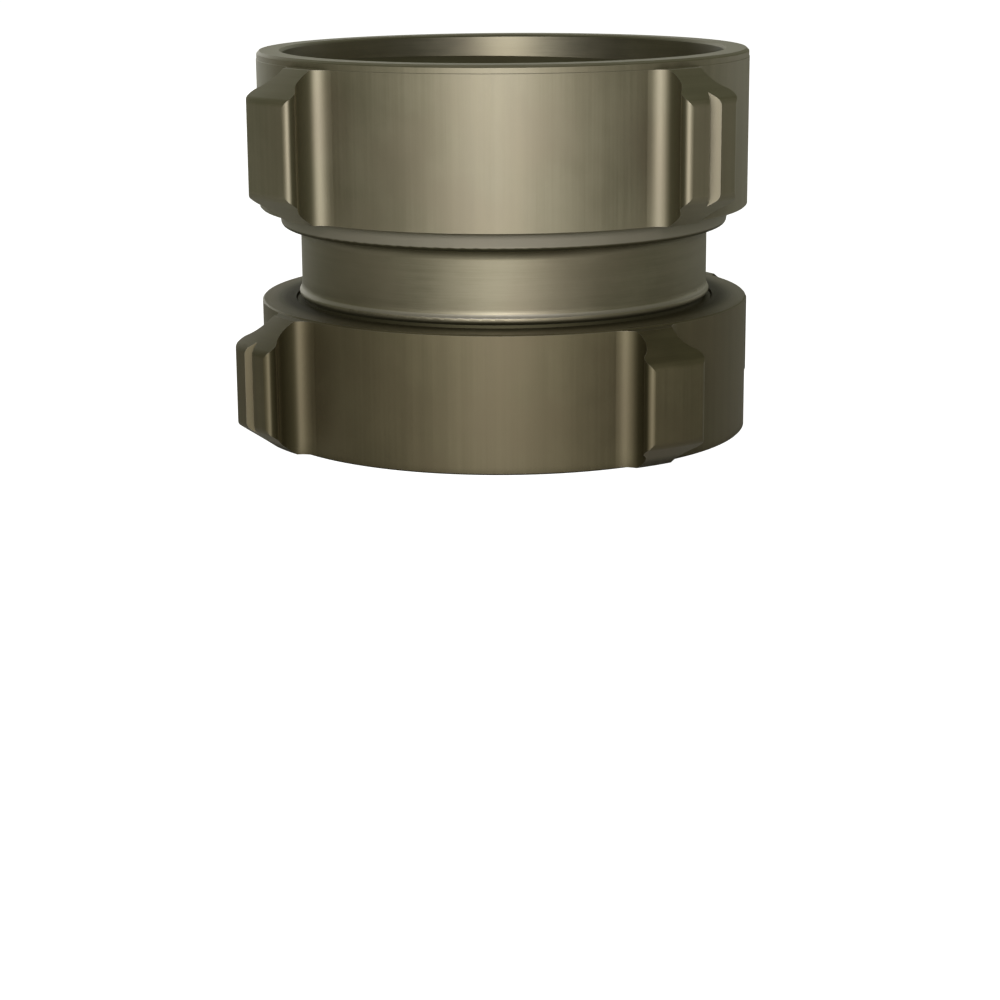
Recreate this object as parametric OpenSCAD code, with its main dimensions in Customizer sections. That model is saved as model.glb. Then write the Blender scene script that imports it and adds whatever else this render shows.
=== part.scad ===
// Double female hose adapter: a rigid threaded end and a swivelling threaded end on a ball race.
// Lengths are millimetres and angles are degrees. +Z is the axis of the waterway.
// The origin lies on the axis in the plane of the swivel's mouth, on which the adapter stands.

/* [Mouths and waterway] */
// Root diameter of both female threads
thread_d = 128; // [112:0.1:144]
// Radial step from the tail's journal out to the thread root
thread_step = 2.5; // [2:0.1:4]
// Wall of the tail between the waterway and the journal
tail_wall = 10.5; // [8:0.1:14]
// Depth of the rigid end's thread chamber, from the rim to the gasket recess
rigid_thread_depth = 30; // [24:0.1:33]
// Width of the lead-in chamfer at each mouth
lead_in = 0.8; // [0.4:0.1:1.2]

/* [Rings] */
// Wall of both rings between the thread root and their outside
ring_wall = 7.45; // [6:0.05:12]
// Height of the rigid ring, from its underside to its rim
rigid_h = 44.9; // [42:0.1:52]
// Height of the swivel ring
swivel_h = 38.9; // [36:0.1:46]
// Length of tail in sight between the two rings
neck_h = 26.9; // [22:0.1:40]
// Depth to which the land at the rigid mouth is turned below the ring's surface
land_cut = 0.15; // [0.1:0.05:0.6]
// Height of the turned land at the rigid mouth
land_h = 2.4; // [1.5:0.1:5]
// Chamfer of the rigid mouth's outer edge
mouth_chamfer = 0.8; // [0.3:0.05:1.5]
// Edge break at the faces of both rings and at the end of the tail
edge_break = 0.4; // [0.2:0.05:1]

/* [Rocker lugs] */
// Number of lugs on each ring
lug_count = 4; // [2:1:6]
// Height of the lugs above the ring
lug_h = 14.55; // [10:0.05:18]
// Width of a lug over its rounded corners
lug_w = 19.4; // [14:0.1:26]
// Radius of the lug's corners
lug_corner_r = 2.2; // [1:0.1:3]
// Radius of the hollow flank between lug and ring
lug_root_r = 5.9; // [5:0.1:9]
// Width of the flat shoulder between the ring and the sloped lug ends
lug_shoulder = 3.3; // [0.5:0.1:6]
// Slope of the turned lug ends, from the plane of the ring's face
lug_slope = 35; // [20:0.5:40]
// Radius where the sloped ends meet the lug's outer face
lug_end_r = 3; // [1:0.1:5]
// Angle by which the swivel's notched lug stands turned from the rigid ring's notched lug
swivel_turn = -97.7; // [-180:0.1:180]

/* [Thread start notch] */
// Width of the notch at the lug's face
notch_w = 4.5; // [3:0.1:7]
// Depth of the notch
notch_depth = 3; // [2:0.1:5]

/* [Neck] */
// Depth of the neck below the journal
neck_cut = 1.8; // [1:0.1:3]
// Radial step from the neck out to the bead at its foot
bead_step = 0.8; // [0.4:0.1:1.4]
// Radius of the bead
bead_r = 1.4; // [1:0.1:2]
// Radius of the hollow flare between the neck and the bead
flare_r = 2.2; // [1.5:0.1:4]
// Gap between the bead and the swivel's face
bead_gap = 0.5; // [0.3:0.1:1]
// Depth of the journal's upper edge below the swivel's face
journal_set = 0.6; // [0.4:0.1:1]
// Height of the collar under the rigid ring
collar_h = 5.4; // [4.5:0.1:8]
// Radial step from the neck to the collar's lower edge
collar_step = 5.7; // [5:0.1:6.5]
// Radial growth of the collar from its lower edge to the rigid ring
collar_flare = 0.9; // [0.2:0.1:2]
// Rounding of the collar's lower edge
collar_edge_r = 1.3; // [0.6:0.1:1.6]
// Fillet between the collar and the neck
collar_fillet_r = 3.1; // [1:0.1:3.3]

/* [Gaskets] */
// Thickness of both gaskets
gasket_t = 5; // [4:0.1:6.4]
// Depth of the gasket recesses beyond the thread root
recess_cut = 1.6; // [1:0.1:2.5]
// Radial step from the waterway to the gaskets' inner edge
gasket_step = 1.5; // [1:0.1:4]
// Clearance round a gasket in its recess
gasket_gap = 0.2; // [0.1:0.05:0.4]

/* [Swivel race] */
// Radial running clearance between the journal and the swivel
journal_gap = 0.07; // [0.03:0.01:0.1]
// Height of the swivel's bearing land, which holds the race at its middle
race_h = 12.5; // [11:0.1:14]
// Diameter of the bearing balls
ball_d = 7.8; // [7:0.1:8.6]
// Clearance of the balls in their groove
ball_gap = 0.15; // [0.1:0.01:0.25]
// Least gap between neighbouring balls
ball_pitch_gap = 0.2; // [0.1:0.05:0.5]
// Gap between the tail's end and the swivel's gasket
tail_gap = 0.2; // [0.1:0.05:0.4]

/* [Filling plug] */
// Radial clearance with which a ball passes through the filling hole
fill_gap = 0.4; // [0.2:0.05:0.8]
// Radial clearance of the plug in its hole
plug_gap = 0.05; // [0.03:0.01:0.1]
// Depth of the plug's face under the ring's surface
plug_inset = 0.7; // [0.3:0.1:1.2]
// Width across flats of the plug's socket
socket_af = 4; // [3:0.1:5]
// Depth of the plug's socket
socket_depth = 2.4; // [1.5:0.1:3]

/* [Hidden] */
$fn = 180;
CUT = 1; // how far a cutting solid runs past the face that it cuts
BITE = 0.01; // overlap of an arc with the arc or line that it flows into
thread_r = thread_d / 2;
journal_r = thread_r - thread_step;
waterway_r = journal_r - tail_wall;
neck_r = journal_r - neck_cut;
ring_r = thread_r + ring_wall;
land_r = ring_r - land_cut;
lug_r = ring_r + lug_h;
recess_r = thread_r + recess_cut;
gasket_r = recess_r - gasket_gap;
recess_h = gasket_t + gasket_gap;
rigid_z = swivel_h + neck_h;
total_h = rigid_z + rigid_h;
land_z = total_h - land_h;
rigid_seat_z = total_h - rigid_thread_depth - recess_h;
shoulder_z = swivel_h - race_h;
ball_z = swivel_h - race_h / 2;
tail_z = shoulder_z + tail_gap;
race_r = journal_r + journal_gap / 2;
groove_r = ball_d / 2 + ball_gap;
ball_count = floor(180 / asin((ball_d + ball_pitch_gap) / 2 / race_r));
plug_hole_r = ball_d / 2 + fill_gap;
plug_r = plug_hole_r - plug_gap;
plug_angle = swivel_turn + 180 + 180 / lug_count;
plug_start = race_r + groove_r + ball_gap;
plug_end = ring_r - plug_inset;

function ball_name(i) = str("bearing_ball_", i < 10 ? "0" : "", i);
function polar(r, a) = [r * cos(a), r * sin(a)];
function mirrored(p) = [p[0], -p[1]];

// Lug profile, as extruded: the corner arc flows into the hollow flank
root_r = max(lug_root_r, (lug_r - ring_r) / 2 - lug_corner_r + BITE);
corner_c = lug_r - lug_corner_r + BITE;
root_c = ring_r + root_r - BITE;
flow = root_r + lug_corner_r - BITE;
corner_a = asin((lug_w / 2 - lug_corner_r) / corner_c);
root_a = corner_a + acos((root_c ^ 2 + corner_c ^ 2 - flow ^ 2) / (2 * root_c * corner_c));

// Outline of one lug about +X
module lug_outline() {
    corner = polar(corner_c, corner_a);
    root = polar(root_c, root_a);
    brow = polar(lug_r + CUT, corner_a);
    difference() {
        polygon([[0, 0], mirrored(root), mirrored(corner), mirrored(brow), brow, corner, root]);
        for (c = [root, mirrored(root)])
            translate(c) circle(r = root_r);
    }
    for (c = [corner, mirrored(corner)])
        translate(c) circle(r = lug_corner_r);
}

// Section of the extruded ring, with the thread start notch in the lug on +X
module ring_section() {
    difference() {
        union() {
            circle(r = ring_r);
            for (i = [0:lug_count - 1])
                rotate(i * 360 / lug_count) lug_outline();
        }
        polygon([
            [lug_r - notch_depth, 0],
            [lug_r + CUT, notch_w / 2 * (notch_depth + CUT) / notch_depth],
            [lug_r + CUT, -notch_w / 2 * (notch_depth + CUT) / notch_depth]
        ]);
    }
}

// Half section of the turned form of a ring whose end faces lie at z0 and z1
module turned_section(z0, z1) {
    shoulder_r = ring_r + lug_shoulder;
    rise = edge_break + (lug_r - shoulder_r) * tan(lug_slope);
    reach = lug_end_r * tan(45 - lug_slope / 2);
    along = reach * [cos(lug_slope), sin(lug_slope)];
    polygon([
        [0, z0],
        [ring_r - edge_break, z0],
        [ring_r, z0 + edge_break],
        [shoulder_r, z0 + edge_break],
        [lug_r - along[0], z0 + rise - along[1]],
        [lug_r, z0 + rise + reach],
        [lug_r, z1 - rise - reach],
        [lug_r - along[0], z1 - rise + along[1]],
        [shoulder_r, z1 - edge_break],
        [ring_r, z1 - edge_break],
        [ring_r - edge_break, z1],
        [0, z1]
    ]);
    for (z = [z0 + rise + reach, z1 - rise - reach])
        translate([lug_r - lug_end_r, z]) circle(r = lug_end_r + BITE);
}

// Ring with lugs between z0 and z1
module lugged_ring(z0, z1) {
    intersection() {
        translate([0, 0, z0]) linear_extrude(z1 - z0) ring_section();
        rotate_extrude() turned_section(z0, z1);
    }
}

module frustum(z0, r0, z1, r1) {
    translate([0, 0, z0]) cylinder(h = z1 - z0, r1 = r0, r2 = r1);
}

module bore(z0, z1, r) {
    translate([0, 0, z0]) cylinder(h = z1 - z0, r = r);
}

// Round groove of the ball race
module race_groove() {
    translate([0, 0, ball_z]) rotate_extrude() translate([race_r, 0]) circle(r = groove_r);
}

// Turned stretch from the tail's end to the underside of the rigid ring
module tail_form() {
    journal_z = swivel_h - journal_set;
    bead = [neck_r + bead_step - bead_r, swivel_h + bead_gap + bead_r];
    flare_c = neck_r + flare_r - BITE;
    flare = [flare_c, bead[1] + sqrt((flare_r + bead_r - BITE) ^ 2 - (flare_c - bead[0]) ^ 2)];
    collar_z = rigid_z - collar_h;
    collar_r = neck_r + collar_step;
    rotate_extrude() difference() {
        union() {
            polygon([
                [0, tail_z],
                [journal_r - edge_break, tail_z],
                [journal_r, tail_z + edge_break],
                [journal_r, journal_z - edge_break],
                [journal_r - edge_break, journal_z],
                [bead[0], journal_z],
                bead,
                flare,
                [neck_r, flare[1]],
                [neck_r, collar_z - collar_fillet_r],
                [neck_r + collar_fillet_r, collar_z],
                [collar_r - collar_edge_r, collar_z],
                [collar_r, collar_z + collar_edge_r],
                [collar_r + collar_flare, rigid_z],
                [0, rigid_z]
            ]);
            translate(bead) circle(r = bead_r);
            translate([collar_r - collar_edge_r, collar_z + collar_edge_r])
                circle(r = collar_edge_r + BITE);
        }
        translate(flare) circle(r = flare_r);
        translate([neck_r + collar_fillet_r, collar_z - collar_fillet_r]) circle(r = collar_fillet_r);
    }
}

// Rigid end, neck and tail in one piece
module adapter_body() {
    color([0.34, 0.33, 0.26]) difference() {
        union() {
            lugged_ring(rigid_z, land_z + edge_break);
            bore(land_z, total_h - mouth_chamfer, land_r);
            frustum(total_h - mouth_chamfer, land_r, total_h, land_r - mouth_chamfer);
            tail_form();
        }
        bore(tail_z - CUT, rigid_seat_z + CUT, waterway_r);
        bore(rigid_seat_z, rigid_seat_z + recess_h, recess_r);
        bore(rigid_seat_z, total_h - lead_in, thread_r);
        frustum(total_h - lead_in, thread_r, total_h + CUT, thread_r + lead_in + CUT);
        race_groove();
    }
}

// Ring that turns on the tail
module swivel_ring() {
    color([0.28, 0.27, 0.20]) difference() {
        rotate(swivel_turn) lugged_ring(0, swivel_h);
        bore(shoulder_z - CUT, swivel_h + CUT, journal_r + journal_gap);
        bore(shoulder_z - recess_h, shoulder_z, recess_r);
        bore(lead_in, shoulder_z, thread_r);
        frustum(-CUT, thread_r + lead_in + CUT, lead_in, thread_r);
        race_groove();
        rotate(plug_angle) translate([neck_r, 0, ball_z]) rotate([0, 90, 0])
            cylinder(h = ring_r - neck_r + CUT, r = plug_hole_r);
    }
}

// Rubber washer with its lower face at z
module gasket(z) {
    color([0.07, 0.07, 0.07]) difference() {
        bore(z, z + gasket_t, gasket_r);
        bore(z - CUT, z + gasket_t + CUT, waterway_r + gasket_step);
    }
}

module rigid_gasket() {
    gasket(rigid_seat_z);
}

module swivel_gasket() {
    gasket(shoulder_z - gasket_t);
}

// Ball i of the race
module bearing_ball(i) {
    color([0.75, 0.76, 0.78]) rotate((i - 0.5) * 360 / ball_count) translate([race_r, 0, ball_z])
        sphere(d = ball_d);
}

// Set screw that closes the filling hole
module ball_plug() {
    color([0.45, 0.45, 0.47]) rotate(plug_angle) translate([plug_start, 0, ball_z]) rotate([0, 90, 0])
        difference() {
            cylinder(h = plug_end - plug_start, r = plug_r);
            translate([0, 0, plug_end - plug_start - socket_depth])
                cylinder(h = socket_depth + CUT, d = socket_af / cos(30), $fn = 6);
        }
}

adapter_body();
swivel_ring();
rigid_gasket();
swivel_gasket();
ball_plug();
for (i = [1:ball_count]) bearing_ball(i);
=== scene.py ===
"""Looks of a double female hose adapter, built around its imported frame.

Lengths are metres, but millimetres in the finishes and where a name says so. The adapter stands
on the swivel's mouth, the waterway runs along +Z, and +X points through the notched lug of the
rigid ring.
"""

from __future__ import annotations

import logging
import math
from collections.abc import Callable, Mapping
from dataclasses import dataclass, field
from enum import Enum
from typing import NamedTuple

import bpy
from mathutils import Matrix, Vector


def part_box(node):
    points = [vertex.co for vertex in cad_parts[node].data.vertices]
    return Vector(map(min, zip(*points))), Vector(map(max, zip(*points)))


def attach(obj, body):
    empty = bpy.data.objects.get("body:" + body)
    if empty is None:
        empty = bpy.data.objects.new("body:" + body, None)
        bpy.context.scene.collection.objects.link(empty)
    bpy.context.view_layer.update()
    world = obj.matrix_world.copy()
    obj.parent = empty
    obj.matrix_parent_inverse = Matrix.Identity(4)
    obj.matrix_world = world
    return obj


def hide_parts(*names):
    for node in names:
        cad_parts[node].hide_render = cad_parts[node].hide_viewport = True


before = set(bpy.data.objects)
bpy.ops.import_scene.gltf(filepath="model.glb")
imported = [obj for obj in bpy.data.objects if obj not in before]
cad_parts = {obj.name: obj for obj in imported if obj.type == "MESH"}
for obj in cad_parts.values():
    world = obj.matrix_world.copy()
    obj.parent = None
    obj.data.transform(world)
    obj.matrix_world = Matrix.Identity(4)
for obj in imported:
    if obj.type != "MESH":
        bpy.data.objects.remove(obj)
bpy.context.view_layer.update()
MM = 0.001
log = logging.getLogger("adapter")

Colour = tuple[float, float, float]
WHITE: Colour = (1.0, 1.0, 1.0)


class Body(Enum):
    """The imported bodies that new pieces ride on."""

    ADAPTER = "adapter"
    SWIVEL = "swivel"


class Slot(Enum):
    """The record's material slots, which new pieces are handed as arguments."""

    BODY_ALLOY = "body_alloy"
    SWIVEL_ALLOY = "swivel_alloy"
    GASKET_RUBBER = "gasket_rubber"


# Shading


class Ramp(NamedTuple):
    """Values at which a smooth step is 0 and 1. The one for 1 may be the lower of the two."""

    none: float
    full: float

    def beyond(self, start: float) -> Ramp:
        """The same step, measured from a start."""
        return Ramp(start + self.none, start + self.full)


class Grain(NamedTuple):
    """Soft noise: lumps per unit of place, number of finer layers, and their strength."""

    scale: float
    layers: float
    strength: float = 0.5


class Relief(NamedTuple):
    """How strongly and how deep a height shows in the shading."""

    strength: float
    depth_mm: float


class Flow:
    """A shader socket that takes part in Python arithmetic."""

    def __init__(self, bench: Bench, socket: bpy.types.NodeSocket) -> None:
        """Wraps an output socket.

        Args:
            bench: The node tree that the socket belongs to.
            socket: The output socket.
        """
        self.bench = bench
        self.socket = socket

    def _maths(self, operation: str, *values: Flow | float) -> Flow:
        """Adds a Math node.

        Args:
            operation: The node's operation.
            values: Its inputs, in order.

        Returns:
            The node's value.
        """
        return self.bench.flow("ShaderNodeMath", {"operation": operation}, dict(enumerate(values)))

    def __add__(self, other: Flow | float) -> Flow:
        """Sum."""
        return self._maths("ADD", self, other)

    __radd__ = __add__

    def __sub__(self, other: Flow | float) -> Flow:
        """Difference."""
        return self._maths("SUBTRACT", self, other)

    def __rsub__(self, other: Flow | float) -> Flow:
        """Difference from another value."""
        return self._maths("SUBTRACT", other, self)

    def __mul__(self, other: Flow | float) -> Flow:
        """Product."""
        return self._maths("MULTIPLY", self, other)

    __rmul__ = __mul__

    def __truediv__(self, other: Flow | float) -> Flow:
        """Quotient."""
        return self._maths("DIVIDE", self, other)

    def __rtruediv__(self, other: Flow | float) -> Flow:
        """Quotient of another value."""
        return self._maths("DIVIDE", other, self)

    def __abs__(self) -> Flow:
        """Size without sign."""
        return self._maths("ABSOLUTE", self)

    def root(self) -> Flow:
        """Square root."""
        return self._maths("SQRT", self)

    def angle_from(self, across: Flow) -> Flow:
        """Angle in radians of a point with this height and another value across."""
        return self._maths("ARCTAN2", self, across)

    def most(self, other: Flow | float) -> Flow:
        """The larger of two values."""
        return self._maths("MAXIMUM", self, other)

    def rises(self, ramp: Ramp) -> Flow:
        """Goes smoothly from 0 to 1.

        Args:
            ramp: Values at which the result is 0 and 1.

        Returns:
            The result, held between 0 and 1.
        """
        return self.bench.flow(
            "ShaderNodeMapRange",
            {"interpolation_type": "SMOOTHSTEP"},
            {"Value": self, "From Min": ramp.none, "From Max": ramp.full},
        )

    def swing(self, size: float) -> Flow:
        """Turns noise, which lies about 0.5, into a change up and down of a given size."""
        return (self - 0.5) * size


class Bench:
    """The node tree of one material or world, with one method that adds any node to it."""

    def __init__(self, tree: bpy.types.NodeTree) -> None:
        """Empties the tree.

        Args:
            tree: The tree to fill.
        """
        self.tree = tree
        tree.nodes.clear()

    def node(
        self,
        kind: str,
        settings: Mapping[str, object] | None = None,
        inputs: Mapping[str | int, object] | None = None,
    ) -> bpy.types.Node:
        """Adds a node.

        Args:
            kind: The node's type name.
            settings: Its properties, set before the sockets.
            inputs: Values or flows for its input sockets, by name or place.

        Returns:
            The node.
        """
        node = self.tree.nodes.new(kind)
        for key, value in (settings or {}).items():
            setattr(node, key, value)
        for key, value in (inputs or {}).items():
            if isinstance(value, Flow):
                self.tree.links.new(value.socket, node.inputs[key])
            else:
                node.inputs[key].default_value = value
        return node

    def flow(
        self,
        kind: str,
        settings: Mapping[str, object] | None = None,
        inputs: Mapping[str | int, object] | None = None,
        output: str | int = 0,
    ) -> Flow:
        """Adds a node and hands on one of its outputs.

        Args:
            kind: The node's type name.
            settings: Its properties.
            inputs: Values or flows for its input sockets.
            output: Name or place of the output.

        Returns:
            The output.
        """
        return Flow(self, self.node(kind, settings, inputs).outputs[output])

    def split(self, vector: Flow) -> tuple[Flow, Flow, Flow]:
        """Takes a vector apart.

        Args:
            vector: The vector.

        Returns:
            Its three values.
        """
        outputs = self.node("ShaderNodeSeparateXYZ", inputs={0: vector}).outputs
        return Flow(self, outputs[0]), Flow(self, outputs[1]), Flow(self, outputs[2])

    def join(self, x: Flow | float, y: Flow | float, z: Flow | float) -> Flow:
        """A vector from three values."""
        return self.flow("ShaderNodeCombineXYZ", inputs={0: x, 1: y, 2: z})

    def mix(self, share: Flow, low: Flow | Colour, high: Flow | Colour) -> Flow:
        """Mixes two colours.

        Args:
            share: How much of the second colour shows.
            low: First colour or flow.
            high: Second colour or flow.

        Returns:
            The mixed colour.
        """
        first, second = (side if isinstance(side, Flow) else (*side, 1.0) for side in (low, high))
        # A Mix node has its colour inputs in places 6 and 7, and its colour output in place 2.
        return self.flow("ShaderNodeMix", {"data_type": "RGBA"}, {0: share, 6: first, 7: second}, 2)

    def mix_vectors(self, share: Flow, low: Flow, high: Flow) -> Flow:
        """Mixes two vectors.

        Args:
            share: How much of the second vector shows.
            low: First vector.
            high: Second vector.

        Returns:
            The mixed vector.
        """
        # A Mix node has its vector inputs in places 4 and 5, and its vector output in place 1.
        return self.flow("ShaderNodeMix", {"data_type": "VECTOR"}, {0: share, 4: low, 5: high}, 1)

    def turn_normal(self, normal: Flow, source: str, target: str) -> Flow:
        """Carries a normal from one frame to another.

        Args:
            normal: The normal.
            source: Frame that it is given in, OBJECT or WORLD.
            target: Frame that it is wanted in.

        Returns:
            The normal in the wanted frame.
        """
        return self.flow(
            "ShaderNodeVectorTransform",
            {"vector_type": "NORMAL", "convert_from": source, "convert_to": target},
            {0: normal},
        )

    def bump(self, height: Flow, relief: Relief, normal: Flow | None = None) -> Flow:
        """Shows a height in the shading.

        Args:
            height: The height, about 0 to 1.
            relief: Its strength and depth.
            normal: The normal that it starts from, if not the surface's own.

        Returns:
            The normal with the height on it.
        """
        inputs = {"Strength": relief.strength, "Distance": relief.depth_mm * MM, "Height": height}
        if normal is not None:
            inputs["Normal"] = normal
        return self.flow("ShaderNodeBump", inputs=inputs)


@dataclass
class SurfacePoint:
    """Where a shaded point lies on a part that is turned about Z, in millimetres."""

    bench: Bench
    place: Flow = field(init=False)
    x: Flow = field(init=False)
    y: Flow = field(init=False)
    z: Flow = field(init=False)
    radius: Flow = field(init=False)
    angle: Flow = field(init=False)
    upward: Flow = field(init=False)
    sideways: Flow = field(init=False)

    def __post_init__(self) -> None:
        """Reads the place and the facing in the object's own frame, which turns with it."""
        bench = self.bench
        coordinates = bench.flow("ShaderNodeTexCoord", output="Object")
        self.place = bench.flow(
            "ShaderNodeVectorMath", {"operation": "SCALE"}, {0: coordinates, "Scale": 1 / MM}
        )
        self.x, self.y, self.z = bench.split(self.place)
        self.radius = (self.x * self.x + self.y * self.y).root()
        self.angle = self.y.angle_from(self.x)
        normal = bench.flow("ShaderNodeNewGeometry", output="Normal")
        facing = bench.turn_normal(normal, "WORLD", "OBJECT")
        normal_x, normal_y, self.upward = bench.split(facing)
        self.sideways = abs(normal_y * self.x - normal_x * self.y) / self.radius

    def noise(self, where: Flow, grain: Grain) -> Flow:
        """Soft noise.

        Args:
            where: The place at which the noise is read.
            grain: Its size, layers and strength.

        Returns:
            A value about 0.5.
        """
        return self.bench.flow(
            "ShaderNodeTexNoise",
            {"noise_dimensions": "3D"},
            {
                "Vector": where,
                "Scale": grain.scale,
                "Detail": grain.layers,
                "Roughness": grain.strength,
            },
        )


class Finish:
    """A finish that can be laid on any piece."""

    name: str

    def paint(self, bench: Bench, point: SurfacePoint) -> bpy.types.Node:
        """Builds the shader.

        Args:
            bench: The material's nodes.
            point: The shaded point.

        Returns:
            The shader node.
        """
        raise NotImplementedError

    def material(self) -> bpy.types.Material:
        """Makes the material on the first call, and finds it again on later ones.

        Returns:
            The material.
        """
        known = bpy.data.materials.get(self.name)
        if known is not None:
            return known
        material = bpy.data.materials.new(self.name)
        material.use_nodes = True
        bench = Bench(material.node_tree)
        shader = self.paint(bench, SurfacePoint(bench))
        bench.node("ShaderNodeOutputMaterial", inputs={0: Flow(bench, shader.outputs[0])})
        return material


@dataclass(frozen=True)
class Rounding:
    """A turned arc of a CAD solid, whose exact normal hides the facets in the highlights."""

    centre_radius_mm: float
    centre_height_mm: float
    arc_mm: float
    outward: bool
    above_centre: bool
    reach: Ramp = Ramp(0.12, 0.06)
    side_step: Ramp = Ramp(-0.02, 0.02)

    def normal(self, bench: Bench, point: SurfacePoint, elsewhere: Flow) -> Flow:
        """Swaps the shading normal for the arc's own where the point lies on the arc.

        Args:
            bench: The material's nodes.
            point: The shaded point.
            elsewhere: The normal used off the arc.

        Returns:
            The normal.
        """
        out = point.radius - self.centre_radius_mm
        up = point.z - self.centre_height_mm
        distance = (out * out + up * up).root()
        side = 1.0 if self.outward else -1.0
        level = 1.0 if self.above_centre else -1.0
        on_arc = abs(distance - self.arc_mm).rises(self.reach)
        on_arc = on_arc * (out * side).rises(self.side_step) * (up * level).rises(self.side_step)
        share = side / distance
        exact = bench.join(
            point.x / point.radius * out * share, point.y / point.radius * out * share, up * share
        )
        return bench.mix_vectors(on_arc, elsewhere, bench.turn_normal(exact, "OBJECT", "WORLD"))


@dataclass(frozen=True)
class Band:
    """A height band on the outside of a turned part, with soft ends."""

    low_mm: float
    high_mm: float
    low_soft_mm: float
    high_soft_mm: float
    inner_mm: float
    share: float
    inner_step: Ramp = Ramp(0.0, 0.1)

    def mask(self, point: SurfacePoint) -> Flow:
        """Tells how far the shaded point belongs to the band.

        Args:
            point: The shaded point.

        Returns:
            The band's share there.
        """
        over = point.z.rises(Ramp(self.low_mm - self.low_soft_mm, self.low_mm))
        under = point.z.rises(Ramp(self.high_mm + self.high_soft_mm, self.high_mm))
        outside = point.radius.rises(self.inner_step.beyond(self.inner_mm))
        return over * under * outside * self.share


@dataclass(frozen=True)
class Grains:
    """The noises of an anodised surface at the shaded point, and its share of the drawn barrel."""

    drawn: Flow
    fine: Flow
    broad: Flow
    cloud: Flow
    grit: Flow


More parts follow.
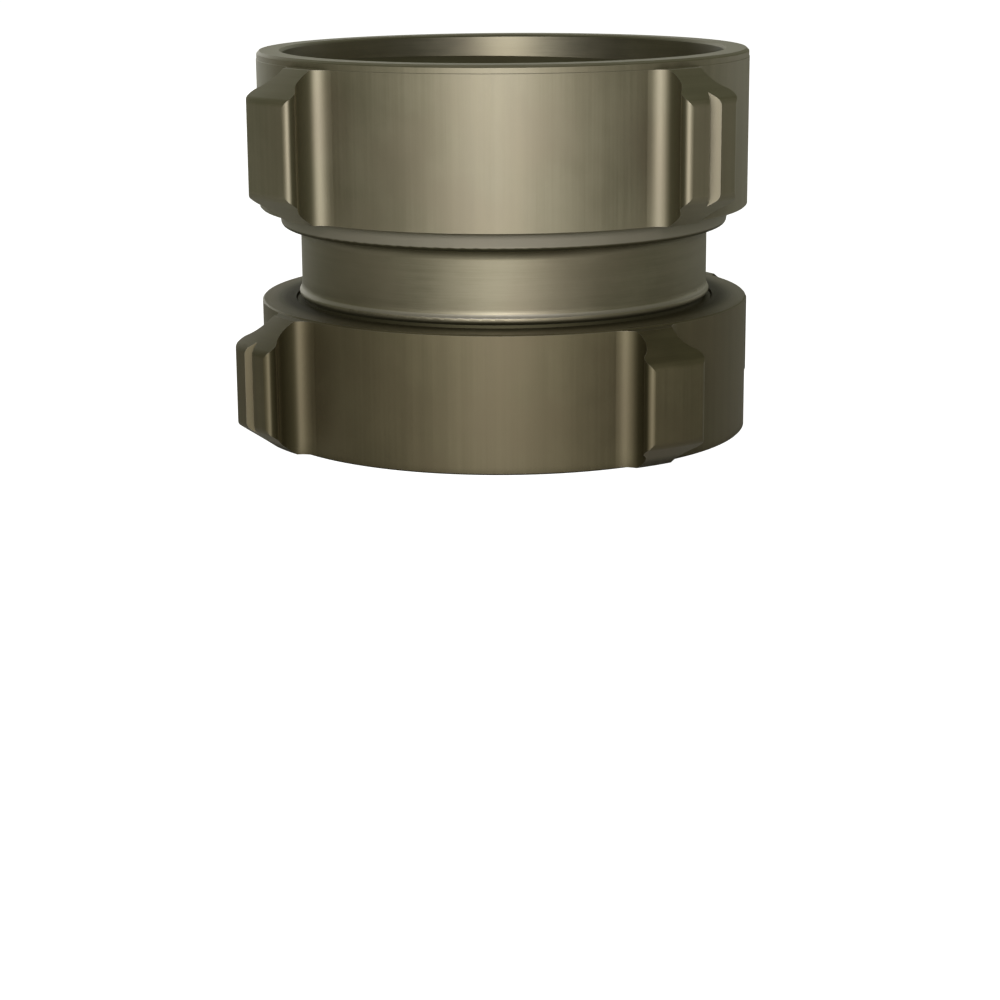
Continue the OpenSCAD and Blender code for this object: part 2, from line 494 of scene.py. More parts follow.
@dataclass(frozen=True)
class AnodisedAlloy(Finish):
    """Dark olive hard anodised aluminium, drawn along the ring's outside and turned elsewhere."""

    name: str
    shade: Colour
    ring_radius_mm: float
    coat: float
    roundings: tuple[Rounding, ...] = ()
    # Bands of painted shade, then bands of painted highlight.
    painted_shade_bands: tuple[Band, ...] = ()
    painted_highlight_bands: tuple[Band, ...] = ()

    metal: Colour = (0.200, 0.184, 0.112)
    pale: Colour = (0.250, 0.232, 0.150)
    # The deep colour is laid on as painted shade.
    deep: Colour = (0.055, 0.052, 0.024)
    brown: Colour = (0.215, 0.185, 0.118)
    # The bright colour is laid on for worn edges and for painted highlights.
    bright_wear_and_highlight: Colour = (0.42, 0.40, 0.32)

    # The barrel of the ring, its lugs and the mouth's inside, which are told apart by place.
    barrel_step: Ramp = Ramp(-0.3, -0.2)
    barrel_facing: Ramp = Ramp(0.35, 0.15)
    flank_step: Ramp = Ramp(1.0, 3.5)
    flank_facing: Ramp = Ramp(0.78, 0.97)
    bore_radius_mm: float = 64.3
    bore_step: Ramp = Ramp(0.1, 0.0)
    inside_from_mm: float = 66.0
    inside_step: Ramp = Ramp(0.0, 0.5)
    ledge_facing: Ramp = Ramp(0.9, 0.99)
    ledge_radius: Ramp = Ramp(69.5, 63.0)
    ledge_height: Ramp = Ramp(60.0, 50.0)

    # Marks of the tool: streaks along the axis on the barrel, rings round it elsewhere.
    streak_stretch: float = 0.012
    ring_stretch: float = 1.5
    fine_streaks: Grain = Grain(0.95, 4.0, 0.68)
    broad_streaks: Grain = Grain(0.28, 2.0)
    fine_rings: Grain = Grain(3.4, 2.0, 0.6)
    broad_rings: Grain = Grain(0.42, 2.0)
    clouds: Grain = Grain(0.055, 4.0, 0.6)
    specks: Grain = Grain(3.2, 2.0, 0.7)
    patches: Grain = Grain(0.032, 3.0, 0.55)
    patch_ramp: Ramp = Ramp(0.38, 0.66)
    patch_share: float = 0.5
    mottle_ramp: Ramp = Ramp(0.1, 0.9)
    mottle_middle: float = 0.5
    cloud_mottle: float = 1.2
    broad_mottle: float = 0.8
    fine_mottle: float = 1.1
    relief: Relief = Relief(0.35, 0.02)
    fine_height: float = 0.6
    broad_height: float = 0.9
    speck_height: float = 0.25

    # Wear on the edges, which stands in partly for highlights on them, and painted shade where the
    # air is closed in.
    probe_rays: int = 4
    edge_radius_mm: float = 0.28
    edge_turn: Ramp = Ramp(0.01, 0.14)
    edge_open: Ramp = Ramp(0.45, 0.8)
    least_wear: float = 0.1
    speck_wear: float = 0.5
    shelter_reach_mm: float = 5.0
    sheltered: Ramp = Ramp(0.82, 0.25)
    # Strengths of the painted shade: in corners, in the hollow flanks, on the ledge and inside the
    # mouth.
    least_corner_shade: float = 0.55
    cloud_corner_shade: float = 0.6
    flank_shade: float = 0.8
    ledge_shade: float = 0.9
    inside_shade: float = 0.35

    metallic: float = 0.92
    roughness: float = 0.53
    cloud_roughness: float = 0.14
    fine_roughness: float = 0.16
    painted_shade_roughness: float = 0.12
    wear_and_highlight_roughness: float = 0.2
    barrel_roughness: float = 0.06
    inside_polish: float = 0.1
    coat_roughness: float = 0.5
    coat_ior: float = 1.7

    def paint(self, bench: Bench, point: SurfacePoint) -> bpy.types.Node:
        """Builds the shader.

        Args:
            bench: The material's nodes.
            point: The shaded point.

        Returns:
            The shader node.
        """
        grains = self._grains(point)
        normal = bench.flow("ShaderNodeNewGeometry", output="Normal")
        for rounding in self.roundings:
            normal = rounding.normal(bench, point, normal)
        open_air = bench.flow(
            "ShaderNodeAmbientOcclusion",
            {"samples": self.probe_rays},
            {"Distance": self.shelter_reach_mm * MM},
            "AO",
        )
        # Lightening by wear and painted highlight, and darkening by painted shade.
        wear_and_highlight = self._wear_and_highlight(bench, point, normal, open_air, grains)
        painted_shade = self._painted_shade(point, open_air, grains)
        inside = point.radius.rises(self.bore_step.beyond(self.bore_radius_mm))
        inside = inside * point.z.rises(self.inside_step.beyond(self.inside_from_mm))
        height = grains.fine * self.fine_height + grains.broad * self.broad_height
        height = height + grains.grit * self.speck_height
        return bench.node(
            "ShaderNodeBsdfPrincipled",
            inputs={
                "Base Color": self._colour(bench, point, grains, wear_and_highlight, painted_shade, inside),
                "Metallic": self.metallic,
                "Roughness": self._rough(grains, wear_and_highlight, painted_shade, inside),
                "Normal": bench.bump(height, self.relief, normal),
                "Coat Weight": (1 - painted_shade) * self.coat,
                "Coat Roughness": self.coat_roughness,
                "Coat IOR": self.coat_ior,
            },
        )

    def _grains(self, point: SurfacePoint) -> Grains:
        """Reads the noises.

        Args:
            point: The shaded point.

        Returns:
            The noises, with the streaks on the barrel and the rings elsewhere.
        """
        drawn = point.radius.rises(self.barrel_step.beyond(self.ring_radius_mm))
        drawn = drawn * abs(point.upward).rises(self.barrel_facing)
        along = point.bench.join(point.x, point.y, point.z * self.streak_stretch)
        around = point.bench.join(point.radius, point.z, point.angle * self.ring_stretch)
        streaks = point.noise(along, self.fine_streaks), point.noise(along, self.broad_streaks)
        rings = point.noise(around, self.fine_rings), point.noise(around, self.broad_rings)
        fine, broad = (
            streak * drawn + ring * (1 - drawn) for streak, ring in zip(streaks, rings)
        )
        cloud = point.noise(point.place, self.clouds)
        return Grains(drawn, fine, broad, cloud, grit=point.noise(point.place, self.specks))

    def _wear_and_highlight(
        self, bench: Bench, point: SurfacePoint, normal: Flow, open_air: Flow, grains: Grains
    ) -> Flow:
        """Finds the worn bright edges, which stand in partly for highlights on rounded edges, and
        the painted highlight bands.

        Args:
            bench: The material's nodes.
            point: The shaded point.
            normal: The shading normal.
            open_air: Share of the open air round the point.
            grains: The noises.

        Returns:
            How far the point is lightened by wear and painted highlight.
        """
        rounded = bench.flow(
            "ShaderNodeBevel", {"samples": self.probe_rays}, {"Radius": self.edge_radius_mm * MM}
        )
        alike = bench.flow(
            "ShaderNodeVectorMath", {"operation": "DOT_PRODUCT"}, {0: rounded, 1: normal}, "Value"
        )
        wear_and_highlight = (1 - alike).rises(self.edge_turn) * open_air.rises(self.edge_open)
        wear_and_highlight = wear_and_highlight * (grains.grit * self.speck_wear + self.least_wear)
        # Painted highlight bands, where the finish has them.
        for band in self.painted_highlight_bands:
            wear_and_highlight = wear_and_highlight.most(band.mask(point))
        return wear_and_highlight

    def _painted_shade(self, point: SurfacePoint, open_air: Flow, grains: Grains) -> Flow:
        """Finds the painted shade: in sheltered corners, in the lugs' hollow flanks, on the
        swivel's ledge and in bands.

        Args:
            point: The shaded point.
            open_air: Share of the open air round the point.
            grains: The noises.

        Returns:
            How far the point is darkened by painted shade.
        """
        # Painted shade in sheltered corners, mottled by the cloud noise.
        cloudy = grains.cloud * self.cloud_corner_shade + self.least_corner_shade
        painted_shade = open_air.rises(self.sheltered) * cloudy
        # Painted shade in the lugs' hollow flanks.
        hollow = point.sideways.rises(self.flank_facing)
        hollow = hollow * point.radius.rises(self.flank_step.beyond(self.ring_radius_mm))
        # Painted shade on the swivel's upward ledge.
        marked_area = point.upward.rises(self.ledge_facing) * point.radius.rises(self.ledge_radius)
        marked_area = marked_area * point.z.rises(self.ledge_height)
        painted_shade = painted_shade.most(hollow * self.flank_shade).most(marked_area * self.ledge_shade)
        # Bands of painted shade, where the finish has them.
        for band in self.painted_shade_bands:
            painted_shade = painted_shade.most(band.mask(point))
        return painted_shade

    def _colour(
        self,
        bench: Bench,
        point: SurfacePoint,
        grains: Grains,
        wear_and_highlight: Flow,
        painted_shade: Flow,
        inside: Flow,
    ) -> Flow:
        """Mixes the colour.

        Args:
            bench: The material's nodes.
            point: The shaded point.
            grains: The noises.
            wear_and_highlight: How far the point is lightened by wear and painted highlight.
            painted_shade: How far the point is darkened by painted shade.
            inside: How far the point lies inside the rigid mouth.

        Returns:
            The colour.
        """
        mottle = grains.cloud.swing(self.cloud_mottle) + grains.broad.swing(self.broad_mottle)
        mottle = mottle + grains.fine.swing(self.fine_mottle) + self.mottle_middle
        colour = bench.mix(
            mottle.rises(self.mottle_ramp), self._toned(self.metal), self._toned(self.pale)
        )
        patch = point.noise(point.place, self.patches).rises(self.patch_ramp)
        colour = bench.mix(patch * self.patch_share, colour, self._toned(self.brown))
        # Wear and painted highlight lighten the colour.
        colour = bench.mix(wear_and_highlight, colour, self.bright_wear_and_highlight)
        # Painted shade darkens the colour, also inside the mouth.
        return bench.mix(painted_shade.most(inside * self.inside_shade), colour, self._toned(self.deep))

    def _rough(self, grains: Grains, wear_and_highlight: Flow, painted_shade: Flow, inside: Flow) -> Flow:
        """Works out the roughness.

        Args:
            grains: The noises.
            wear_and_highlight: How far the point is lightened by wear and painted highlight.
            painted_shade: How far the point is darkened by painted shade.
            inside: How far the point lies inside the rigid mouth.

        Returns:
            The roughness.
        """
        rough = self.roughness + grains.cloud.swing(self.cloud_roughness)
        rough = rough + grains.fine.swing(self.fine_roughness) + painted_shade * self.painted_shade_roughness
        rough = rough + wear_and_highlight * self.wear_and_highlight_roughness + grains.drawn * self.barrel_roughness
        return rough - inside * self.inside_polish

    def _toned(self, colour: Colour) -> Colour:
        """Tints a colour by this finish's shade."""
        return tuple(part * share for part, share in zip(colour, self.shade))


@dataclass(frozen=True)
class MouldedRubber(Finish):
    """Matt black rubber with the grain of its mould and a little pale dust."""

    name: str = "gasket_rubber_moulded"
    black: Colour = (0.018, 0.018, 0.019)
    dust: Colour = (0.095, 0.092, 0.085)
    mould: Grain = Grain(2.6, 3.0, 0.65)
    clouds: Grain = Grain(0.12, 4.0, 0.6)
    cloud_dust: float = 0.75
    mould_dust: float = 0.35
    dust_ramp: Ramp = Ramp(0.5, 0.85)
    dust_share: float = 0.55
    roughness: float = 0.62
    dust_roughness: float = 0.25
    relief: Relief = Relief(0.5, 0.05)

    def paint(self, bench: Bench, point: SurfacePoint) -> bpy.types.Node:
        """Builds the shader.

        Args:
            bench: The material's nodes.
            point: The shaded point.

        Returns:
            The shader node.
        """
        grain = point.noise(point.place, self.mould)
        cloud = point.noise(point.place, self.clouds)
        marked_area = cloud * self.cloud_dust + grain * self.mould_dust
        marked_area = marked_area.rises(self.dust_ramp)
        return bench.node(
            "ShaderNodeBsdfPrincipled",
            inputs={
                "Base Color": bench.mix(marked_area * self.dust_share, self.black, self.dust),
                "Roughness": self.roughness + marked_area * self.dust_roughness,
                "Normal": bench.bump(grain, self.relief),
            },
        )


@dataclass(frozen=True)
class GroundSteel(Finish):
    """Stainless steel with fine grinding or turning marks and a thin film of grease."""

    name: str
    steel: Colour
    marks_per_mm: float
    roughness: float
    marks_outward: float = 0.3
    marks_upward: float = 2.0
    marks_around: float = 30.0
    mark_layers: float = 3.0
    mark_strength: float = 0.6
    mark_roughness: float = 0.2
    film: Grain = Grain(0.7, 3.0)
    film_ramp: Ramp = Ramp(0.35, 0.75)
    film_roughness: float = 0.08
    dull_share: float = 0.62
    relief: Relief = Relief(0.3, 0.01)

    def paint(self, bench: Bench, point: SurfacePoint) -> bpy.types.Node:
        """Builds the shader.

        Args:
            bench: The material's nodes.
            point: The shaded point.

        Returns:
            The shader node.
        """
        swirl = bench.join(
            point.radius * self.marks_outward,
            point.z * self.marks_upward,
            point.angle * self.marks_around,
        )
        marks = point.noise(swirl, Grain(self.marks_per_mm, self.mark_layers, self.mark_strength))
        film = point.noise(point.place, self.film)
        dull = tuple(part * self.dull_share for part in self.steel)
        rough = self.roughness + marks.swing(self.mark_roughness) + film * self.film_roughness
        return bench.node(
            "ShaderNodeBsdfPrincipled",
            inputs={
                "Base Color": bench.mix(film.rises(self.film_ramp), self.steel, dull),
                "Metallic": 1.0,
                "Roughness": rough,
                "Normal": bench.bump(marks, self.relief),
            },
        )


# Modelling


class Shop:
    """The few moves by which every new piece is modelled."""

    SEAM_GAP = 1e-6
    TWIN_GAP = 1e-7
    SMOOTH_ANGLE = math.radians(35)

    @staticmethod
    def clear_selection() -> None:
        """Leaves edit mode and deselects everything."""
        if bpy.context.object is not None and bpy.context.object.mode != "OBJECT":
            bpy.ops.object.mode_set(mode="OBJECT")
        bpy.ops.object.select_all(action="DESELECT")

    @staticmethod
    def select(piece: bpy.types.Object) -> None:
        """Makes a piece the active object and the only one selected.

        Args:
            piece: The piece.
        """
        Shop.clear_selection()
        bpy.context.view_layer.objects.active = piece
        piece.select_set(True)

    @staticmethod
    def place_in_mesh(piece: bpy.types.Object) -> None:
        """Moves an object's place, turn and scale into its mesh."""
        Shop.select(piece)
        bpy.ops.object.transform_apply(location=True, rotation=True, scale=True)

    @staticmethod
    def pick_vertices(piece: bpy.types.Object, wanted: Callable[[Vector], bool]) -> None:
        """Selects vertices by their place, and goes to edit mode.

        Args:
            piece: The mesh.
            wanted: Tells whether a vertex is picked.
        """
        bpy.ops.object.mode_set(mode="EDIT")
        bpy.ops.mesh.select_mode(type="VERT")
        bpy.ops.mesh.select_all(action="DESELECT")
        bpy.ops.object.mode_set(mode="OBJECT")
        for vertex in piece.data.vertices:
            vertex.select = wanted(vertex.co)
        bpy.ops.object.mode_set(mode="EDIT")

    @staticmethod
    def modify(piece: bpy.types.Object, kind: str, settings: Mapping[str, object]) -> None:
        """Adds a modifier and applies it.

        Args:
            piece: The mesh.
            kind: The modifier's type.
            settings: Its properties.
        """
        Shop.select(piece)
        modifier = piece.modifiers.new(kind.title(), kind)
        for key, value in settings.items():
            setattr(modifier, key, value)
        bpy.ops.object.modifier_apply(modifier=modifier.name)

    @staticmethod
    def section(name: str, inner: float, outer: float, low: float, high: float) -> bpy.types.Object:
        """Makes a flat rectangle in the half plane through +X, the start of a turned piece.

        Args:
            name: The piece's name.
            inner: Radius of its inner side.
            outer: Radius of its outer side.
            low: Height of its lower side.
            high: Height of its upper side.

        Returns:
            The flat mesh.
        """
        Shop.clear_selection()
        bpy.ops.mesh.primitive_plane_add(
            size=1.0,
            location=((inner + outer) / 2, 0.0, (low + high) / 2),
            rotation=(math.pi / 2, 0.0, 0.0),
        )
        piece = bpy.context.object
        piece.name = name
        piece.data.name = name
        piece.scale = (outer - inner, high - low, 1.0)
        Shop.place_in_mesh(piece)
        return piece

    @staticmethod
    def sweep(piece: bpy.types.Object, turns: float, rise: float, steps_per_turn: int) -> None:
        """Turns a section about Z while it rises, and closes the ends.

        Args:
            piece: The section.
            turns: Number of turns. A whole single turn without rise closes on itself.
            rise: Height gained over all the turns.
            steps_per_turn: Facets in one turn.
        """
        closed = turns == 1 and rise == 0
        steps = round(abs(turns) * steps_per_turn)
        Shop.modify(
            piece,
            "SCREW",
            {
                "axis": "Z",
                "angle": turns * math.tau,
                "screw_offset": rise,
                "steps": steps,
                "render_steps": steps,
                "use_merge_vertices": closed,
                "merge_threshold": Shop.SEAM_GAP,
                "use_smooth_shade": True,
            },
        )
        bpy.ops.object.mode_set(mode="EDIT")
        bpy.ops.mesh.select_mode(type="VERT")
        bpy.ops.mesh.select_all(action="SELECT")
        bpy.ops.mesh.remove_doubles(threshold=Shop.TWIN_GAP)
        if not closed:
            bpy.ops.mesh.select_all(action="DESELECT")
            bpy.ops.mesh.select_non_manifold()
            bpy.ops.mesh.fill_holes(sides=0)
        bpy.ops.mesh.select_all(action="SELECT")
        bpy.ops.mesh.normals_make_consistent(inside=False)
        bpy.ops.object.mode_set(mode="OBJECT")

    @staticmethod
    def finish(piece: bpy.types.Object, body: Body, slot: Slot, finish: Finish) -> None:
        """Shades a piece, lays its finish on and puts it on its body.

        Args:
            piece: The finished mesh.
            body: The body that it rides on.
            slot: The record's slot, which is not used.
            finish: Its finish.
        """
        Shop.select(piece)
        bpy.ops.object.shade_smooth_by_angle(angle=Shop.SMOOTH_ANGLE)
        piece.data.materials.clear()
        piece.data.materials.append(finish.material())
        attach(piece, body.value)
        faces = len(piece.data.polygons)
        log.info("%s: %d faces, rides on %s, %s", piece.name, faces, body.value, finish.name)

    @staticmethod
    def dress(node: str, finish: Finish) -> None:
        """Lays a finish on a CAD node.

        Args:
            node: The node's name.
            finish: Its finish.
        """
        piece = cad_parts[node]
        for place in piece.material_slots:
            place.material = finish.material()
        log.info("%s: CAD node, %s", node, finish.name)


@dataclass
class ThreadRidge:
    """The ridge of a right-hand female thread, sunk a little into its root cylinder."""

    name: str
    body: Body
    slot: Slot
    finish: Finish
    start_angle: float
    start_height: float
    rise: float
    root_radius: float = 64.0 * MM
    crest_radius: float = 59.85 * MM
    root_width: float = 5.55 * MM
    crest_width: float = 0.8 * MM
    crest_rounding: float = 0.22 * MM
    rounding_segments: int = 3
    pitch: float = 6.35 * MM
    sunk: float = 0.06 * MM
    steps_per_turn: int = 160

    def build(self) -> bpy.types.Object:
        """Models the ridge from its blunt start, which lies at the notched lug.

        Returns:
            The ridge.
        """
        half = self.root_width / 2
        piece = Shop.section(
            self.name,
            self.crest_radius,
            self.root_radius + self.sunk,
            self.start_height - half,
            self.start_height + half,
        )
        self._taper(piece)
        turns = abs(self.rise) / self.pitch
        Shop.sweep(piece, math.copysign(turns, self.rise), self.rise, self.steps_per_turn)
        piece.rotation_euler = (0.0, 0.0, self.start_angle)
        Shop.place_in_mesh(piece)
        Shop.finish(piece, self.body, self.slot, self.finish)
        return piece

    def _taper(self, piece: bpy.types.Object) -> None:
        """Narrows the section towards the crest and rounds the crest's corners.

        Args:
            piece: The section.
        """
        middle = (self.crest_radius + self.root_radius) / 2
        Shop.pick_vertices(piece, lambda place: place.x < middle)
        bpy.ops.transform.resize(
            value=(1.0, 1.0, self.crest_width / self.root_width),
            center_override=(self.crest_radius, 0.0, self.start_height),
        )
        bpy.ops.mesh.bevel(
            offset=self.crest_rounding,
            offset_type="OFFSET",
            segments=self.rounding_segments,
            affect="VERTICES",
        )
        bpy.ops.object.mode_set(mode="OBJECT")


@dataclass
class RibbedGasket:
    """Rubber washer with two moulded sealing ribs on its open face."""

    name: str
    node: str
    body: Body
    finish: Finish
    ribs_up: bool
    bore_radius: float = 52.5 * MM
    rib_radii: tuple[float, float] = (56.6 * MM, 61.4 * MM)
    rib_width: float = 1.4 * MM
    rib_height: float = 0.5 * MM
    corner: float = 0.225 * MM
    corner_segments: int = 2
    corner_angle: float = 0.7
    pick_share: float = 0.6
    pick_depth: float = 0.001 * MM
    steps_per_turn: int = 192

    def build(self) -> bpy.types.Object:
        """Models the washer inside the box of its CAD node.

        Returns:
            The washer, which stands for its CAD node.
        """
        low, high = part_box(self.node)
        face = high.z - self.rib_height if self.ribs_up else low.z + self.rib_height
        bottom, top = (low.z, face) if self.ribs_up else (face, high.z)
        piece = Shop.section(self.name, self.bore_radius, high.x, bottom, top)
        for rib in self.rib_radii:
            for side in (rib - self.rib_width / 2, rib + self.rib_width / 2):
                self._score(side)
        self._raise_ribs(piece, face)
        Shop.sweep(piece, 1, 0.0, self.steps_per_turn)
        Shop.modify(
            piece,
            "BEVEL",
            {
                "width": self.corner,
                "segments": self.corner_segments,
                "limit_method": "ANGLE",
                "angle_limit": self.corner_angle,
            },
        )
        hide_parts(self.node)
        Shop.finish(piece, self.body, Slot.GASKET_RUBBER, self.finish)
        return piece

    @staticmethod
    def _score(radius: float) -> None:
        """Cuts an edge across the active section.

        Args:
            radius: The radius at which it is cut.
        """
        bpy.ops.object.mode_set(mode="EDIT")
        bpy.ops.mesh.select_all(action="SELECT")
        bpy.ops.mesh.bisect(plane_co=(radius, 0.0, 0.0), plane_no=(1.0, 0.0, 0.0))
        bpy.ops.object.mode_set(mode="OBJECT")

    def _raise_ribs(self, piece: bpy.types.Object, face: float) -> None:
        """Pulls the ribs out of the open face.

        Args:
            piece: The scored section.
            face: Height of the open face.
        """
        reach = self.rib_width * self.pick_share
        Shop.pick_vertices(
            piece,
            lambda place: abs(place.z - face) < self.pick_depth
            and any(abs(place.x - rib) < reach for rib in self.rib_radii),
        )
        towards = 1.0 if self.ribs_up else -1.0
        bpy.ops.mesh.extrude_region_move(
            TRANSFORM_OT_translate={"value": (0.0, 0.0, towards * self.rib_height)}
        )
        bpy.ops.object.mode_set(mode="OBJECT")


@dataclass
class RigidEnd:
    """Rigid lugged ring, neck and tail, with the thread and gasket of the upper mouth."""

    alloy: Finish
    rubber: Finish
    start_angle: float = 0.0
    start_height: float = 105.1 * MM
    rise: float = -21.6 * MM

    def build(self) -> None:
        """Dresses the CAD solid, and models the thread and the gasket."""
        Shop.dress("adapter_body", self.alloy)
        ThreadRidge(
            "rigid_thread_ridge",
            Body.ADAPTER,
            Slot.BODY_ALLOY,
            self.alloy,
            self.start_angle,
            self.start_height,
            self.rise,
        ).build()
        RibbedGasket(
            "rigid_gasket_ribbed", "rigid_gasket", Body.ADAPTER, self.rubber, ribs_up=True
        ).build()


@dataclass
class SwivelEnd:
    """Swivelling lugged ring, with its thread, gasket and filling plug."""

    alloy: Finish
    rubber: Finish
    plug_steel: Finish
    start_angle: float = math.radians(-97.7)
    start_height: float = 5.6 * MM
    rise: float = 12.7 * MM

    def build(self) -> None:
        """Dresses the CAD solids, and models the thread and the gasket."""
        Shop.dress("swivel_ring", self.alloy)
        Shop.dress("ball_plug", self.plug_steel)
        ThreadRidge(
            "swivel_thread_ridge",
            Body.SWIVEL,
            Slot.SWIVEL_ALLOY,
            self.alloy,
            self.start_angle,
            self.start_height,
            self.rise,
        ).build()
        RibbedGasket(
            "swivel_gasket_ribbed", "swivel_gasket", Body.SWIVEL, self.rubber, ribs_up=False
        ).build()


@dataclass
class BallRace:
    """The steel balls between the tail and the swivel."""

    steel: Finish
    prefix: str = "bearing_ball"

    def build(self) -> None:
        """Dresses every ball."""
        for node in sorted(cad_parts):
            if node.startswith(self.prefix):
                Shop.dress(node, self.steel)


# Studio


@dataclass
class SoftLamp:
    """A soft box that looks at the adapter, with its angles in degrees and its power in watts."""

    name: str
    bearing: float
    elevation: float
    distance: float
    width: float
    height: float
    power: float
    colour: Colour = WHITE

    def build(self, target: Vector) -> None:
        """Hangs the lamp.

        Args:
            target: The point that it looks at.
        """
        bearing, elevation = math.radians(self.bearing), math.radians(self.elevation)
        towards = Vector(
            (
                math.cos(bearing) * math.cos(elevation),
                math.sin(bearing) * math.cos(elevation),
                math.sin(elevation),
            )
        )
        data = bpy.data.lights.new(self.name, "AREA")
        data.shape = "RECTANGLE"
        data.size, data.size_y = self.width, self.height
        data.energy = self.power
        data.color = self.colour
        lamp = bpy.data.objects.new(self.name, data)
        bpy.context.scene.collection.objects.link(lamp)
        lamp.location = target + towards * self.distance
        lamp.rotation_euler = towards.to_track_quat("Z", "Y").to_euler()
        log.info("%s: lamp of %.1f W", self.name, self.power)


@dataclass
class Studio:
    """Camera, floor, pale surroundings and lamps. The camera's angles are degrees."""

    camera_bearing: float = -41.2
    camera_reach: float = 0.7266
    camera_height: float = 0.1572
    camera_tilt: float = 14.06
    camera_yaw: float = 0.13
    camera_roll: float = 0.38
    camera_clip: float = 0.01
    lens_mm: float = 88.82
    sensor_mm: float = 36.0
    middle: Vector = field(default_factory=lambda: Vector((0.0, 0.0, 0.056)))
    ambient: float = 0.05
    ambient_colour: Colour = (0.93, 1.0, 0.56)
    mirrored_light: float = 0.08
    floor_size: float = 12.0
    floor_gap: float = 0.2 * MM
    floor_colour: Colour = (0.74, 0.75, 0.68)
    floor_roughness: float = 0.9
    floor_specular: float = 0.1

    def build(self) -> None:
        """Makes the whole studio."""
        self._camera()
        self._world()
        self._floor()
        for lamp in self._lamps():
            lamp.build(self.middle)
        bpy.context.scene.view_settings.view_transform = "Standard"

    def _camera(self) -> None:
        """Stands the camera where the photograph was taken from."""
        data = bpy.data.cameras.new("camera")
        data.lens = self.lens_mm
        data.sensor_width = self.sensor_mm
        data.clip_start = self.camera_clip
        camera = bpy.data.objects.new("camera", data)
        bpy.context.scene.collection.objects.link(camera)
        bearing = math.radians(self.camera_bearing)
        heading = bearing + math.pi / 2 + math.radians(self.camera_yaw)
        camera.matrix_world = (
            Matrix.Translation(
                (
                    self.camera_reach * math.cos(bearing),
                    self.camera_reach * math.sin(bearing),
                    self.camera_height,
                )
            )
            @ Matrix.Rotation(heading, 4, "Z")
            @ Matrix.Rotation(math.pi / 2 - math.radians(self.camera_tilt), 4, "X")
            @ Matrix.Rotation(-math.radians(self.camera_roll), 4, "Z")
        )
        bpy.context.scene.camera = camera
        log.info("camera: lens %.2f mm", self.lens_mm)

    def _world(self) -> None:
        """Makes surroundings that are white to the camera, and dim to the light and the metal."""
        world = bpy.data.worlds.new("studio")
        world.use_nodes = True
        bpy.context.scene.world = world
        bench = Bench(world.node_tree)
        path = bench.node("ShaderNodeLightPath")
        seen = Flow(bench, path.outputs["Is Camera Ray"]).most(
            Flow(bench, path.outputs["Is Transmission Ray"])
        )
        mirrored = Flow(bench, path.outputs["Is Glossy Ray"])
        strength = self.ambient * (1 - seen) + seen + mirrored * self.mirrored_light
        colour = bench.mix(seen, self.ambient_colour, WHITE)
        shade = bench.flow("ShaderNodeBackground", inputs={"Color": colour, "Strength": strength})
        bench.node("ShaderNodeOutputWorld", inputs={0: shade})

    def _floor(self) -> None:
        """Lays a pale floor, which glows white to the camera, so that no shadow shows on it."""
        Shop.clear_selection()
        bpy.ops.mesh.primitive_plane_add(size=self.floor_size, location=(0.0, 0.0, -self.floor_gap))
        floor = bpy.context.object
        floor.name = "floor"
        Shop.place_in_mesh(floor)
        material = bpy.data.materials.new("floor_paper")
        material.use_nodes = True
        bench = Bench(material.node_tree)
        seen = bench.flow("ShaderNodeLightPath", output="Is Camera Ray")
        shader = bench.flow(
            "ShaderNodeBsdfPrincipled",
            inputs={
                "Base Color": (*self.floor_colour, 1.0),
                "Roughness": self.floor_roughness,
                "Specular IOR Level": self.floor_specular,
                "Emission Color": (*WHITE, 1.0),
                "Emission Strength": seen,
            },
        )
        bench.node("ShaderNodeOutputMaterial", inputs={0: shader})
        floor.data.materials.append(material)

    def _lamps(self) -> list[SoftLamp]:
        """Lists the lamps: the key beside the camera, and three weak ones behind the adapter.

        Returns:
            The lamps.
        """
        return [
            SoftLamp(
                "key",
                bearing=self.camera_bearing - 2.6,
                elevation=14.0,
                distance=1.5,
                width=0.36,
                height=0.36,
                power=20.5,
                colour=(1.0, 0.97, 1.06),
            ),
            SoftLamp(
                "back",
                bearing=self.camera_bearing - 174.0,
                elevation=30.0,
                distance=1.8,
                width=1.6,
                height=0.9,
                power=2.8,
            ),
            SoftLamp(
                "side_right",
                bearing=self.camera_bearing + 128.0,
                elevation=5.0,
                distance=1.5,
                width=0.8,
                height=0.6,
                power=1.4,
            ),
            SoftLamp(
                "side_left",
                bearing=self.camera_bearing - 150.0,
                elevation=6.0,
                distance=1.5,
                width=0.9,
                height=0.7,
                power=3.2,
            ),
        ]


# The adapter's own finishes

RING_RADIUS_MM = 71.45


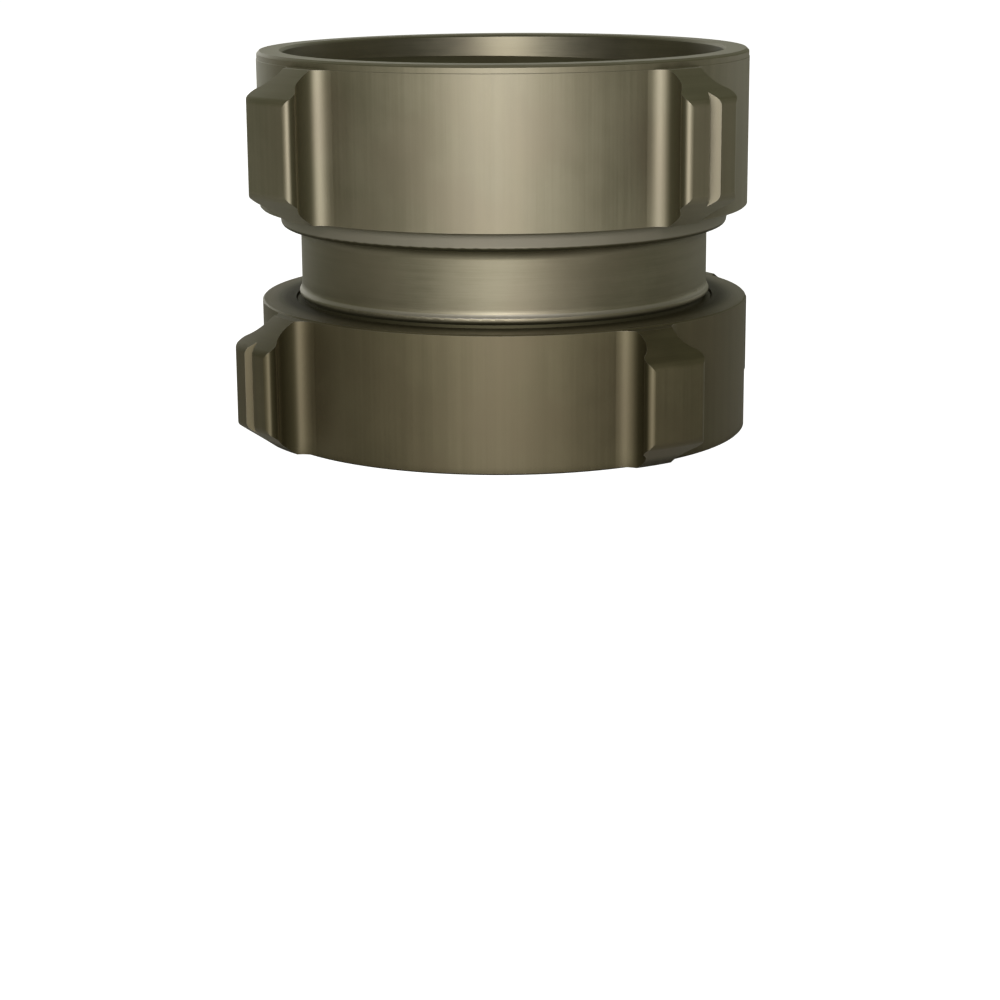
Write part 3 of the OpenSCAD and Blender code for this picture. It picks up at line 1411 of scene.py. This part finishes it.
def body_alloy() -> AnodisedAlloy:
    """Describes the rigid ring, neck and tail, with painted shade and painted highlights on the
    neck and rim.

    Returns:
        The finish.
    """
    bead_foot = Rounding(59.1, 40.8, 1.4, outward=True, above_centre=False)
    bead_top = Rounding(59.1, 40.8, 1.4, outward=True, above_centre=True)
    bead_flare = Rounding(61.89, 43.06, 2.2, outward=False, above_centre=False)
    collar_fillet = Rounding(62.8, 57.3, 3.1, outward=False, above_centre=True)
    collar_edge = Rounding(64.1, 61.7, 1.31, outward=True, above_centre=False)
    # Painted shade under the collar, under the bead and on the neck between the rings.
    shade_under_collar = Band(60.0, 61.0, low_soft_mm=0.5, high_soft_mm=0.7, inner_mm=61.0, share=0.9)
    shade_under_bead = Band(37.0, 39.9, low_soft_mm=0.5, high_soft_mm=0.9, inner_mm=58.0, share=0.9)
    shade_on_neck = Band(44.0, 57.0, low_soft_mm=1.0, high_soft_mm=2.0, inner_mm=59.0, share=0.12)
    # Painted highlights on the collar, the bead and the rim.
    highlight_on_collar = Band(61.6, 65.2, low_soft_mm=0.5, high_soft_mm=0.4, inner_mm=62.0, share=0.45)
    highlight_on_bead = Band(41.5, 42.1, low_soft_mm=0.35, high_soft_mm=0.4, inner_mm=58.0, share=0.5)
    highlight_on_rim = Band(110.3, 112.0, low_soft_mm=0.2, high_soft_mm=1.0, inner_mm=62.0, share=0.3)
    return AnodisedAlloy(
        "body_alloy_anodised",
        shade=(1.0, 0.99, 0.93),
        ring_radius_mm=RING_RADIUS_MM,
        coat=0.5,
        roundings=(bead_foot, bead_top, bead_flare, collar_fillet, collar_edge),
        painted_shade_bands=(shade_under_collar, shade_under_bead, shade_on_neck),
        painted_highlight_bands=(highlight_on_collar, highlight_on_bead, highlight_on_rim),
    )


def swivel_alloy() -> AnodisedAlloy:
    """Describes the swivel ring, which is darker and browner than the body.

    Returns:
        The finish.
    """
    return AnodisedAlloy(
        "swivel_alloy_anodised",
        shade=(0.59, 0.55, 0.42),
        ring_radius_mm=RING_RADIUS_MM,
        coat=0.32,
    )


def main() -> None:
    """Builds the studio and the adapter, part by part."""
    logging.basicConfig(level=logging.INFO, format="%(name)s %(message)s")
    rubber = MouldedRubber()
    plug_steel = GroundSteel(
        "plug_steel_turned", steel=(0.50, 0.50, 0.51), marks_per_mm=1.2, roughness=0.34
    )
    ball_steel = GroundSteel(
        "ball_steel_ground", steel=(0.62, 0.62, 0.64), marks_per_mm=2.0, roughness=0.16
    )
    Studio().build()
    RigidEnd(body_alloy(), rubber).build()
    SwivelEnd(swivel_alloy(), rubber, plug_steel).build()
    BallRace(ball_steel).build()
    Shop.clear_selection()


if __name__ == "__main__":
    main()
